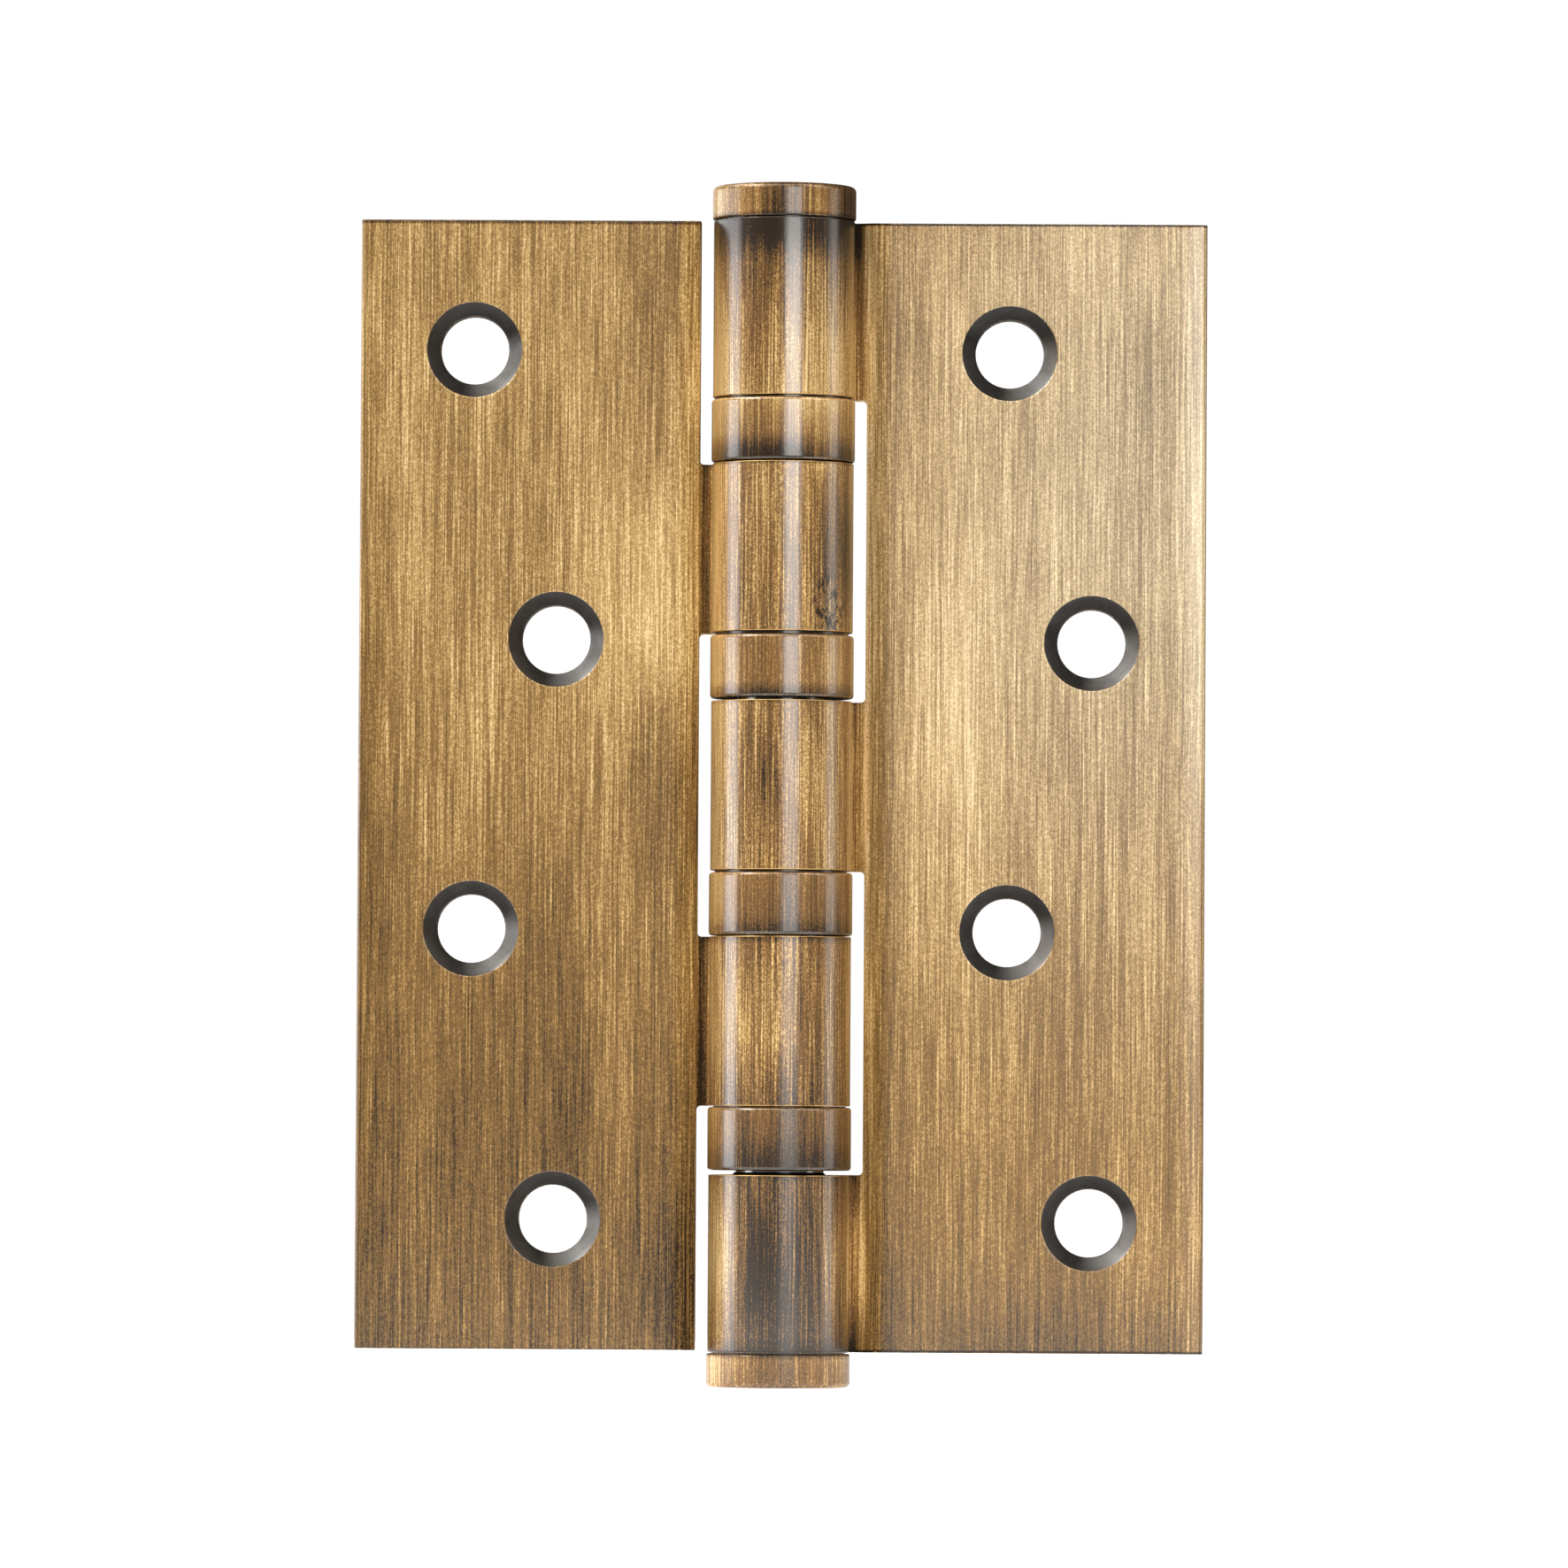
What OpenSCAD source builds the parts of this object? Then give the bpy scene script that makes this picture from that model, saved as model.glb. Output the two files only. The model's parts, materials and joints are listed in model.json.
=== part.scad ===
// Ball-bearing butt hinge with five knuckles, laid open flat.
// The origin is on the pin axis, halfway up the leaves. +Z runs up the pin, +X runs out
// over the frame leaf, and the front, with the countersinks and the barrel, faces -Y.

/* [Leaves] */
// Height of both leaves
leaf_height = 101.6; // [98:0.1:110]
// Width across both leaves when they lie open
open_width = 76.2; // [72:0.1:90]
// Thickness of the leaf plate
leaf_thickness = 3.0; // [2.6:0.1:3.2]
// Gap between the front faces when the hinge is closed
closed_gap = 2.0; // [1.4:0.1:2.6]
// Clearance between the barrel and the inner edges of the leaves
notch_clearance = 1.15; // [1:0.05:1.8]
// Radius in the inner corners of the notches
notch_corner_r = 0.4; // [0.2:0.05:0.8]
// Rounding along each leaf's outer front edge
outer_edge_r = 0.4; // [0.1:0.05:0.8]
// Angle of the bend that carries a leaf back to the barrel
swage_angle = 16.5; // [15:0.5:19]
// Radius of that bend at the middle of the plate
swage_r = 2.5; // [2:0.1:3]

/* [Barrel] */
// Outside diameter of the knuckles
knuckle_d = 12.7; // [12.4:0.1:13.4]
// Height of each of the three middle knuckles
mid_knuckle_h = 15.2; // [13:0.1:17]
// Radial clearance between the pin and the knuckles
pin_clearance = 0.05; // [0.02:0.01:0.1]
// Height that the door leaf rides above the frame leaf
door_lift = 0.12; // [0:0.01:0.15]
// End play between two frame knuckles, round one door knuckle and two bearings
span_play = 0.8; // [0.7:0.05:1.2]
// Width of the seam where a rolled knuckle meets its plate
seam_w = 0.15; // [0.08:0.01:0.3]

/* [Bearings] */
// Height of a bearing's collar
bearing_h = 5.65; // [5.4:0.05:6]
// How much wider than the knuckles the collars and caps are
collar_extra_d = 0.2; // [0:0.05:0.4]
// Wall round the collar's cavity
collar_wall = 0.8; // [0.6:0.05:0.9]
// Thickness of the collar's rolled lips
lip_h = 0.5; // [0.4:0.05:0.6]
// Rounding of the collar's edges
collar_edge_r = 0.3; // [0.1:0.05:0.4]
// Diameter of the balls
ball_d = 2.0; // [1.8:0.1:2.1]
// Radial wall of a race's hub, round the pin
hub_wall = 0.6; // [0.4:0.05:0.6]
// Reach of a race's hub beyond the collar
hub_reach = 1.25; // [1.22:0.01:1.3]
// Depth of the seat for a hub in a knuckle's end
seat_depth = 1.2; // [1:0.05:1.2]

/* [Pin and caps] */
// Height of an end cap
cap_h = 2.98; // [2.6:0.02:4]
// Gap between a cap and the end of the barrel
cap_gap = 0.12; // [0.1:0.02:0.4]
// Depth of the blind bore in a cap
cap_bore_depth = 2.0; // [1.4:0.1:2]
// Rounding of a cap's outer rim
cap_rim_r = 0.45; // [0.2:0.05:0.7]
// Height of the band that holds the pin fast in the top knuckle
pin_band_h = 6.0; // [4:0.5:8]

/* [Screw holes] */
// Diameter of the screw holes
hole_d = 6.15; // [5:0.05:6.4]
// Diameter of the countersinks at the front face
countersink_d = 8.68; // [8:0.02:9.6]
// Height between neighbouring holes of one leaf
hole_pitch = 26.07; // [24:0.01:27]
// Distance from the pin axis to the outer row of holes
outer_row_x = 27.85; // [26:0.05:30]
// Distance from the pin axis to the inner row of holes
inner_row_x = 20.35; // [19:0.05:22]

/* [Hidden] */
$fn = 96;
cut = 1; // how far a cutter reaches past the face it opens
arc_steps = 6;

leaf_top = leaf_height / 2;
leaf_edge_x = open_width / 2;
front_y = closed_gap / 2;
back_y = front_y + leaf_thickness;
holes_per_leaf = 4;

// The knuckle's wall is the plate itself, rolled round the bore.
knuckle_r = knuckle_d / 2;
bore_r = knuckle_r - leaf_thickness;
pin_r = bore_r - pin_clearance;
roll_r = knuckle_r - leaf_thickness / 2;
notch_x = knuckle_r + notch_clearance;

// Heights of the knuckles, as [bottom, top].
span_h = mid_knuckle_h + 2 * bearing_h + span_play;
frame_spans = [
    [mid_knuckle_h / 2 + span_h, leaf_top],
    [-mid_knuckle_h / 2, mid_knuckle_h / 2],
    [-leaf_top, -mid_knuckle_h / 2 - span_h]
];
door_middle = (mid_knuckle_h + span_h) / 2;
door_spans = [
    for (middle = [door_middle, -door_middle])
        [middle + door_lift - mid_knuckle_h / 2, middle + door_lift + mid_knuckle_h / 2]
];

// The gap above each bearing. The rest of the play is below it: little under the first
// and third, and a gap that shows the hub under the fourth.
bearing_ceilings = [frame_spans[0][0], door_spans[0][0], frame_spans[1][0], door_spans[1][0]];
bearing_gaps = [0.18, 0.27, 0.19, 0.11];
bearing_z = [for (i = [0:3]) bearing_ceilings[i] - bearing_gaps[i] - bearing_h / 2];

collar_r = knuckle_r + collar_extra_d / 2;
cavity_r = collar_r - collar_wall;
race_bore_r = pin_r + 0.1;
hub_r = race_bore_r + hub_wall;
foot_r = hub_r + 0.3;
foot_start = 0.18; // where the hub starts to flare, past the collar's end
lip_r = foot_r + 0.1;
seat_r = foot_r + 0.05;
face_r = knuckle_r - 0.4; // the raised face of a collar or cap, in its gap to the knuckle
face_play = 0.02; // what a raised face lacks to the knuckle that it turns with
race_play = 0.05; // what the loose race lacks in height
race_side_play = 0.1; // what the loose race lacks in radius
ball_r = ball_d / 2;
groove_r = ball_r + 0.05;
race_face = 0.7 * ball_r;
ball_pitch_r = (race_bore_r + cavity_r - race_side_play) / 2;
ball_count = floor(180 / asin(groove_r / ball_pitch_r));

pin_top = leaf_top + cap_gap + cap_bore_depth;
pin_chamfer = 0.4;
band_top = leaf_top - 1;

steel_colour = [0.46, 0.46, 0.47];
ball_colour = [0.72, 0.73, 0.75];
frame_colour = [0.72, 0.60, 0.42];
door_colour = [0.60, 0.46, 0.28];
barrel_colour = [0.66, 0.51, 0.31];

// Points on an arc about [x, y] from angle a to angle b.
function arc(x, y, r, a, b) = [
    for (i = [0:arc_steps])
        let (t = a + (b - a) * i / arc_steps) [x + r * cos(t), y + r * sin(t)]
];

// Plan of a leaf's plate on the +X side: flat, then bent back through the swage and
// straight on until its middle line is tangent to the rolled knuckle's middle line.
module plate_plan() {
    bend_y = (front_y + back_y) / 2 + swage_r;
    bend_x = (roll_r + swage_r - bend_y * cos(swage_angle)) / sin(swage_angle);
    roll_normal = [sin(swage_angle), cos(swage_angle)];
    polygon(concat(
        arc(bend_x, bend_y, swage_r + leaf_thickness / 2, -90 - swage_angle, -90),
        arc(leaf_edge_x - outer_edge_r, front_y + outer_edge_r, outer_edge_r, -90, 0),
        [[leaf_edge_x, back_y]],
        arc(bend_x, bend_y, swage_r - leaf_thickness / 2, -90, -90 - swage_angle),
        [knuckle_r * roll_normal, bore_r * roll_normal]
    ));
}

// A gap between knuckles, cut in from the pin side, with rounded inner corners.
module notch(low, high) {
    r = notch_corner_r;
    translate([0, back_y + knuckle_r, 0])
        rotate([90, 0, 0])
            linear_extrude(height = back_y + 2 * knuckle_r) {
                translate([-cut, low]) square([notch_x - r + cut, high - low]);
                translate([-cut, low + r]) square([notch_x + cut, high - low - 2 * r]);
                for (z = [low + r, high - r]) translate([notch_x - r, z]) circle(r);
            }
}

// The slit left between the end of the roll and the front of the plate.
module seam(span) {
    seam_angle = acos(bore_r / knuckle_r);
    rotate([0, 0, 90 - swage_angle - seam_angle])
        translate([bore_r - cut, -seam_w / 2, span[0] - cut])
            cube([leaf_thickness + 2 * cut, seam_w, span[1] - span[0] + 2 * cut]);
}

// A screw hole that enters at the front face, with a 90 degree countersink.
module screw_hole() {
    hole_r = hole_d / 2;
    countersink_r = countersink_d / 2;
    rotate([-90, 0, 0]) {
        translate([0, 0, front_y - cut]) cylinder(r = hole_r, h = leaf_thickness + 2 * cut);
        translate([0, 0, front_y - cut])
            cylinder(r1 = countersink_r + cut, r2 = hole_r, h = countersink_r - hole_r + cut);
    }
}

// Staggered screw holes. outer_first puts the top hole in the outer row.
module screw_holes(outer_first) {
    for (i = [0:holes_per_leaf - 1]) {
        is_outer = (i % 2 == 0) == outer_first;
        z = ((holes_per_leaf - 1) / 2 - i) * hole_pitch;
        translate([is_outer ? outer_row_x : inner_row_x, 0, z]) screw_hole();
    }
}

// Seats for the bearings' hubs, in each knuckle end that faces a bearing.
module hub_seats(spans) {
    for (span = spans) {
        if (span[0] > -leaf_top)
            translate([0, 0, span[0] - cut]) cylinder(r = seat_r, h = seat_depth + cut);
        if (span[1] < leaf_top)
            translate([0, 0, span[1] - seat_depth]) cylinder(r = seat_r, h = seat_depth + cut);
    }
}

module leaf(spans, gaps, middle, outer_first) {
    difference() {
        union() {
            difference() {
                translate([0, 0, middle])
                    linear_extrude(height = leaf_height, center = true) plate_plan();
                for (gap = gaps) notch(gap[0], gap[1]);
            }
            for (span = spans)
                translate([0, 0, span[0]]) cylinder(r = knuckle_r, h = span[1] - span[0]);
        }
        translate([0, 0, -leaf_height]) cylinder(r = bore_r, h = 2 * leaf_height);
        for (span = spans) seam(span);
        hub_seats(spans);
        translate([0, 0, middle]) screw_holes(outer_first);
    }
}

module frame_leaf() {
    gaps = [
        [frame_spans[1][1], frame_spans[0][0]],
        [frame_spans[2][1], frame_spans[1][0]]
    ];
    color(frame_colour) leaf(frame_spans, gaps, 0, false);
}

module door_leaf() {
    beyond = leaf_top + 10;
    gaps = [
        [door_spans[0][1], beyond],
        [door_spans[1][1], door_spans[0][0]],
        [-beyond, door_spans[1][0]]
    ];
    color(door_colour) mirror([1, 0, 0]) leaf(door_spans, gaps, door_lift, true);
}

// The pin is slack in every knuckle but the top one, where a raised band grips.
module hinge_pin() {
    band_lead = 0.2;
    color(steel_colour)
        rotate_extrude()
            polygon([
                [0, -pin_top],
                [pin_r - pin_chamfer, -pin_top],
                [pin_r, pin_chamfer - pin_top],
                [pin_r, band_top - pin_band_h],
                [bore_r, band_top - pin_band_h + band_lead],
                [bore_r, band_top - band_lead],
                [pin_r, band_top],
                [pin_r, pin_top - pin_chamfer],
                [pin_r - pin_chamfer, pin_top],
                [0, pin_top]
            ]);
}

// An end cap that stands on z = 0, with its blind bore pressed over the pin's end. Its
// raised face reaches into the gap below it.
module cap() {
    foot_edge_r = 0.15;
    color(barrel_colour)
        rotate_extrude()
            polygon(concat(
                arc(collar_r - foot_edge_r, foot_edge_r, foot_edge_r, -90, 0),
                arc(collar_r - cap_rim_r, cap_h - cap_rim_r, cap_rim_r, 0, 90),
                [[0, cap_h], [0, cap_bore_depth], [pin_r, cap_bore_depth]],
                [[pin_r, face_play - cap_gap], [face_r, face_play - cap_gap], [face_r, 0]]
            ));
}

module top_cap() {
    translate([0, 0, leaf_top + cap_gap]) cap();
}

module bottom_cap() {
    mirror([0, 0, 1]) top_cap();
}

// The ring that shows between two knuckles. Its lips keep the races in, and its raised
// face bears on the knuckle above.
module bearing_collar(i) {
    e = collar_edge_r;
    top = bearing_h / 2;
    face = top + bearing_gaps[i] - face_play;
    color(barrel_colour)
        translate([0, 0, bearing_z[i]])
            rotate_extrude()
                polygon(concat(
                    [[lip_r, -top]],
                    arc(collar_r - e, e - top, e, -90, 0),
                    arc(collar_r - e, top - e, e, 0, 90),
                    [[face_r, top], [face_r, face], [lip_r, face]],
                    [[lip_r, top - lip_h], [cavity_r, top - lip_h]],
                    [[cavity_r, lip_h - top], [lip_r, lip_h - top]]
                ));
}

// A race above the balls: grooved disc, hub and flared foot. The disc fills the cavity
// out to disc_r, and play is left between its back and the collar's lip.
module race(disc_r, play) {
    groove_angle = asin(race_face / groove_r);
    disc_top = bearing_h / 2 - lip_h - play;
    foot_z = bearing_h / 2 + foot_start;
    color(steel_colour)
        rotate_extrude()
            polygon(concat(
                [[race_bore_r, race_face]],
                arc(ball_pitch_r, 0, groove_r, 180 - groove_angle, groove_angle),
                [[disc_r, race_face], [disc_r, disc_top], [hub_r, disc_top]],
                [[hub_r, foot_z], [foot_r, foot_z + foot_r - hub_r]],
                [[foot_r, bearing_h / 2 + hub_reach], [race_bore_r, bearing_h / 2 + hub_reach]]
            ));
}

module bearing_upper_race(i) {
    translate([0, 0, bearing_z[i]]) race(cavity_r, 0);
}

module bearing_lower_race(i) {
    translate([0, 0, bearing_z[i]])
        mirror([0, 0, 1]) race(cavity_r - race_side_play, race_play);
}

module bearing_balls(i) {
    color(ball_colour)
        translate([0, 0, bearing_z[i]])
            for (k = [0:ball_count - 1])
                rotate([0, 0, 360 * k / ball_count])
                    translate([ball_pitch_r, 0, 0]) sphere(ball_r);
}

frame_leaf();
door_leaf();
hinge_pin();
top_cap();
bottom_cap();
bearing_collar(0);  // bearing_1_collar
bearing_upper_race(0);  // bearing_1_upper_race
bearing_lower_race(0);  // bearing_1_lower_race
bearing_balls(0);  // bearing_1_balls
bearing_collar(1);  // bearing_2_collar
bearing_upper_race(1);  // bearing_2_upper_race
bearing_lower_race(1);  // bearing_2_lower_race
bearing_balls(1);  // bearing_2_balls
bearing_collar(2);  // bearing_3_collar
bearing_upper_race(2);  // bearing_3_upper_race
bearing_lower_race(2);  // bearing_3_lower_race
bearing_balls(2);  // bearing_3_balls
bearing_collar(3);  // bearing_4_collar
bearing_upper_race(3);  // bearing_4_upper_race
bearing_lower_race(3);  // bearing_4_lower_race
bearing_balls(3);  // bearing_4_balls
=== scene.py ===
"""Looks of a ball-bearing butt door hinge in brushed antique brass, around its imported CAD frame."""

import functools
import json
import math
from typing import NamedTuple

import bmesh
import bpy
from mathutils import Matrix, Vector


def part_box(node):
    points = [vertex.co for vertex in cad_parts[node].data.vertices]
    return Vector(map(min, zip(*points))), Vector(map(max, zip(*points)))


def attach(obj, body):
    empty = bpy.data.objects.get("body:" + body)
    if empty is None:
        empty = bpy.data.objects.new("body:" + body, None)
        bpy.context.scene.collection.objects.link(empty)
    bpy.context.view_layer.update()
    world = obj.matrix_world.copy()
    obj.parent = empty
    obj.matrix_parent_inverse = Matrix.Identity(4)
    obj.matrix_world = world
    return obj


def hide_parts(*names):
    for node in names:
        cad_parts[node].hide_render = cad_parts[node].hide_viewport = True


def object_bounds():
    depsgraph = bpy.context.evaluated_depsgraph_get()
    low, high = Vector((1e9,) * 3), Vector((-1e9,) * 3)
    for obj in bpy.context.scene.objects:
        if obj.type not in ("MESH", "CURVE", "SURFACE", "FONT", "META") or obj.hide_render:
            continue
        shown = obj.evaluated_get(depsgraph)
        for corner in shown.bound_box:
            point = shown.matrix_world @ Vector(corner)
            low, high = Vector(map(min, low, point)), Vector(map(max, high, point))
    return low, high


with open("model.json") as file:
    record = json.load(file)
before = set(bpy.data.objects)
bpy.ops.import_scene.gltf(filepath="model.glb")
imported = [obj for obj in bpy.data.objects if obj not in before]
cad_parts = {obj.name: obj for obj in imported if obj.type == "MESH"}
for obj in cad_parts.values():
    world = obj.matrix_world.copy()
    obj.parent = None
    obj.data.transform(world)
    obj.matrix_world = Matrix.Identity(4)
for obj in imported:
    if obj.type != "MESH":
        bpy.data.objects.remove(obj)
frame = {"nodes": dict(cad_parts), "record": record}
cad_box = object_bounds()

MM = 0.001
LEAVES = {"frame_leaf": "frame", "door_leaf": "door"}
BEARINGS = (1, 2, 3, 4)

# The hinge's own sizes, from the frame. The caps stand 0.1 mm proud of the knuckles.
LEAF_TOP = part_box("frame_leaf")[1].z
BARREL_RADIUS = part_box("top_cap")[1].x - 0.1 * MM
# A leaf's front face lies less than this behind the barrel's axis, and the back of its plate lies more
FRONT_LIMIT = 2.0 * MM

# The softened edges of the leaves
EDGE_WIDTH = 0.08 * MM
EDGE_STEPS = 3
SHARP_ANGLE = math.radians(30)
FLAT_ANGLE = math.radians(0.4)
WELD_GAP = 1e-7
EASE_WIDTH = 3.0 * MM
EASE_DEPTH = 0.12 * MM
EASE_STEPS = 6
CUT_GAP = 1e-6
NORMAL_WEIGHT = 50

# What tells one finish of a leaf's shell from another: the reach of a countersink round its hole's
# axis, the reach of the barrel round its own, the height where the leaf's end begins, how square to
# the plate a flat face is, and how far an upright edge's faces may lean
COUNTERSINK_REACH = 4.5 * MM
KNUCKLE_REACH = BARREL_RADIUS + 0.25 * MM
END_HEIGHT = LEAF_TOP - 0.8 * MM
FLAT_FACE = 0.95
UPRIGHT_LEAN = 0.2

# The wedge where a knuckle's roll meets its strap: the furthest from the barrel's axis, the least
# behind it and the least beside it. Upright edges longer than UPRIGHT_RISE past STRAP_SIDE are clear
# of the wedge.
WEDGE_REACH = 8.6 * MM
WEDGE_BACK = 0.9 * MM
WEDGE_SIDE = 3.0 * MM
STRAP_SIDE = 7.2 * MM
UPRIGHT_RISE = 2.0 * MM

# The four finishes of a leaf's shell, in the order of its material slots. The dark finish is painted shade
# on edges that face up or down, and patina at the back of the holes.
BRUSHED, WORN, HOLE, DARK = range(4)

# The camera, as the photograph was taken: its place in m, its lens in mm and its roll. FRAMING is how
# far off the hinge's centre it aims.
CAMERA_DISTANCE = 0.9855
CAMERA_RIGHT = 0.009
CAMERA_HEIGHT = -0.030
CAMERA_LENS = 252
SENSOR_WIDTH = 36
CAMERA_ROLL = math.radians(0.34)
FRAMING = Vector((0.25, 0.0, 0.20)) * MM

# The stage: a pale floor that glows a little, in a dim and even room
FLOOR_HALF = 0.2
FLOOR_GREY = 0.55
FLOOR_GLOW = 0.95
ROOM_TINT = (1.0, 0.97, 0.93, 1.0)
ROOM_LIGHT = 0.07
BACKDROP_LIGHT = 1.05

# Each lamp: its name, the azimuths and elevations that it fills as seen from the hinge, in degrees,
# its distance in m, its radiance and its tint. Azimuth 0 is over the camera and 90 is at its right.
LAMPS = (
    ("front_strip", (4, 28), (1.5, 12), 2.2, 6.4, (1.0, 0.985, 0.96)),
    ("left_strip", (-138, -76), (-8, 9), 1.8, 3.6, (0.98, 0.98, 1.0)),
    ("upper_left", (-122, -84), (30, 60), 1.8, 4.0, (1.0, 1.0, 1.0)),
    ("key", (-74, -50), (34, 54), 1.8, 9.0, (1.0, 1.0, 1.0)),
    ("right_strip", (80, 98), (-5, 12), 1.8, 1.7, (1.0, 0.95, 0.88)),
    ("overhead", (-70, 80), (24, 64), 1.8, 2.4, (1.0, 0.96, 0.90)),
    ("back_left", (-175, -145), (-5, 50), 2.0, 1.0, (1.0, 1.0, 1.0)),
)


# ---------------------------------------------------------------- node trees

# Each noise: its cycles in a metre along X, Y and Z, its detail and its roughness
NOISES = {
    "wander": ((110.0, 110.0, 35.0), 1.0, 0.5),
    "fine lines": ((5800.0, 5800.0, 60.0), 1.0, 0.5),
    "finer lines": ((9000.0, 9000.0, 170.0), 1.0, 0.5),
    "middle lines": ((1700.0, 1700.0, 30.0), 1.5, 0.6),
    "broad lines": ((330.0, 330.0, 14.0), 2.0, 0.5),
    "clouds": ((85.0, 85.0, 42.0), 3.0, 0.55),
    "grain": ((6400.0, 6400.0, 5200.0), 1.0, 0.5),
    "pits": ((1500.0, 1500.0, 800.0), 4.0, 0.75),
    "red patches": ((240.0, 240.0, 90.0), 2.0, 0.5),
    "worn lengths": ((600.0, 600.0, 400.0), 3.0, 0.6),
    "edge grain": ((7000.0, 7000.0, 7000.0), 1.0, 0.5),
    "mottle": ((900.0, 900.0, 900.0), 3.0, 0.6),
    "hole grain": ((9000.0, 9000.0, 9000.0), 1.0, 0.5),
    "grease": ((500.0, 500.0, 700.0), 3.0, 0.5),
}
# How far apart two materials' patterns are taken, in m for each step of the seed
SEED_STEP = (0.31, 0.17, 0.23)


class Net:
    """A node tree with one short call for each kind of node that the finishes use."""

    def __init__(self, tree):
        self.tree = tree
        self.tree.nodes.clear()

    def node(self, kind, inputs=None, **settings):
        """Add a node. An input is a number, a vector or another node's output."""
        node = self.tree.nodes.new(kind)
        for key, value in settings.items():
            setattr(node, key, value)
        for key, value in (inputs or {}).items():
            self.put(node.inputs[key], value)
        return node

    def put(self, socket, value):
        """Link an output to a socket, or set the socket to a plain value."""
        if isinstance(value, bpy.types.NodeSocket):
            self.tree.links.new(value, socket)
        else:
            socket.default_value = value

    def math(self, operation, a, b=0.0, clamp=False):
        node = self.node("ShaderNodeMath", {0: a, 1: b}, operation=operation, use_clamp=clamp)
        return node.outputs[0]

    def add(self, a, b):
        return self.math("ADD", a, b)

    def less(self, a, b):
        return self.math("SUBTRACT", a, b)

    def times(self, a, b):
        return self.math("MULTIPLY", a, b)

    def blend(self, a, b, share=0.5):
        """The average of two values, with a share of a."""
        return self.add(self.times(a, share), self.times(b, 1.0 - share))

    def vector(self, operation, a, b=(0.0, 0.0, 0.0)):
        return self.node("ShaderNodeVectorMath", {0: a, 1: b}, operation=operation)

    def scaled(self, vector, factors):
        return self.vector("MULTIPLY", vector, factors).outputs[0]

    def shifted(self, vector, offset):
        return self.vector("ADD", vector, offset).outputs[0]

    def coords(self):
        """The place in the hinge's frame."""
        return self.node("ShaderNodeTexCoord").outputs["Object"]

    def seeded(self, coords, seed):
        """The place moved to the seed's own part of the noise."""
        return self.shifted(coords, tuple(seed * step for step in SEED_STEP))

    def noise(self, place, name):
        """One of the named noises."""
        return self.free_noise(place, *NOISES[name])

    def free_noise(self, place, scale, detail, roughness):
        """A noise of any scale, in cycles in a metre along X, Y and Z."""
        vector = self.scaled(place, scale)
        inputs = {"Vector": vector, "Scale": 1.0, "Detail": detail, "Roughness": roughness}
        return self.node("ShaderNodeTexNoise", inputs).outputs["Fac"]

    def span(self, value, low, high, to_low=0.0, to_high=1.0, smooth=True):
        """Take the value from to_low to to_high as it goes from low to high, and hold it past them."""
        inputs = {
            "Value": value,
            "From Min": low,
            "From Max": high,
            "To Min": to_low,
            "To Max": to_high,
        }
        curve = "SMOOTHSTEP" if smooth else "LINEAR"
        node = self.node("ShaderNodeMapRange", inputs, interpolation_type=curve)
        return node.outputs["Result"]

    def mix(self, amount, a, b, blend="MIX"):
        """Mix two colours."""
        node = self.node("ShaderNodeMix", data_type="RGBA", blend_type=blend)
        self.put(node.inputs["Factor"], amount)
        for socket, value in zip([s for s in node.inputs if s.type == "RGBA"], (a, b)):
            self.put(socket, value)
        return [s for s in node.outputs if s.type == "RGBA"][0]

    def ramp(self, value, stops):
        """Colour a value by a list of (position, colour), from low to high."""
        node = self.node("ShaderNodeValToRGB", {"Fac": value})
        elements = node.color_ramp.elements
        elements[0].position, elements[0].color = stops[0]
        elements[1].position, elements[1].color = stops[-1]
        for position, colour in stops[1:-1]:
            elements.new(position).color = colour
        return node.outputs["Color"]

    def bump(self, height, distance):
        return self.node("ShaderNodeBump", {"Height": height, "Distance": distance}).outputs["Normal"]


def new_material(name):
    """A material and its empty node tree."""
    material = bpy.data.materials.new(name)
    material.use_nodes = True
    return material, Net(material.node_tree)


def finish_material(net, **sockets):
    """Add the shader and the output. Each socket is named with _ for a space."""
    shader = net.node("ShaderNodeBsdfPrincipled")
    for key, value in sockets.items():
        net.put(shader.inputs[key.replace("_", " ")], value)
    net.node("ShaderNodeOutputMaterial", {"Surface": shader.outputs["BSDF"]})


def grey(value):
    return (value, value, value, 1.0)


# ---------------------------------------------------------------- antique brass

GOLD = (0.80, 0.520, 0.190, 1.0)
BRONZE = (0.30, 0.170, 0.054, 1.0)
UMBER = (0.034, 0.021, 0.012, 1.0)
WORN_GOLD = (0.72, 0.45, 0.16, 1.0)
RED_CAST = (1.0, 0.955, 0.87, 1.0)

# From bare brass to the full patina: (darkness, colour)
PLATE_STOPS = (
    (0.0, (0.93, 0.700, 0.380, 1.0)),
    (0.2, (0.62, 0.420, 0.165, 1.0)),
    (0.5, BRONZE),
    (1.0, UMBER),
)
# Paler, whiter colours for the pale region, which is painted light on the frame leaf
PAINTED_LIGHT_STOPS = (
    (0.0, (0.96, 0.800, 0.540, 1.0)),
    (0.2, (0.68, 0.530, 0.310, 1.0)),
    (0.5, (0.36, 0.255, 0.135, 1.0)),
    (1.0, UMBER),
)
BARREL_STOPS = (
    (0.0, (0.96, 0.720, 0.360, 1.0)),
    (0.2, (0.66, 0.435, 0.158, 1.0)),
    (0.5, (0.31, 0.165, 0.054, 1.0)),
    (1.0, UMBER),
)
WORN_STOPS = ((0.0, WORN_GOLD), (0.6, GOLD), (1.0, BRONZE))

# How much each part of the finish adds to the darkness. LINE_SKEW makes the bright lines stronger and
# the dark ones weaker.
LINE_DEPTH = 1.25
SPECK_DEPTH = 1.15
LINE_SKEW = 0.12
JOINT_DEPTH = 0.8
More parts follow.
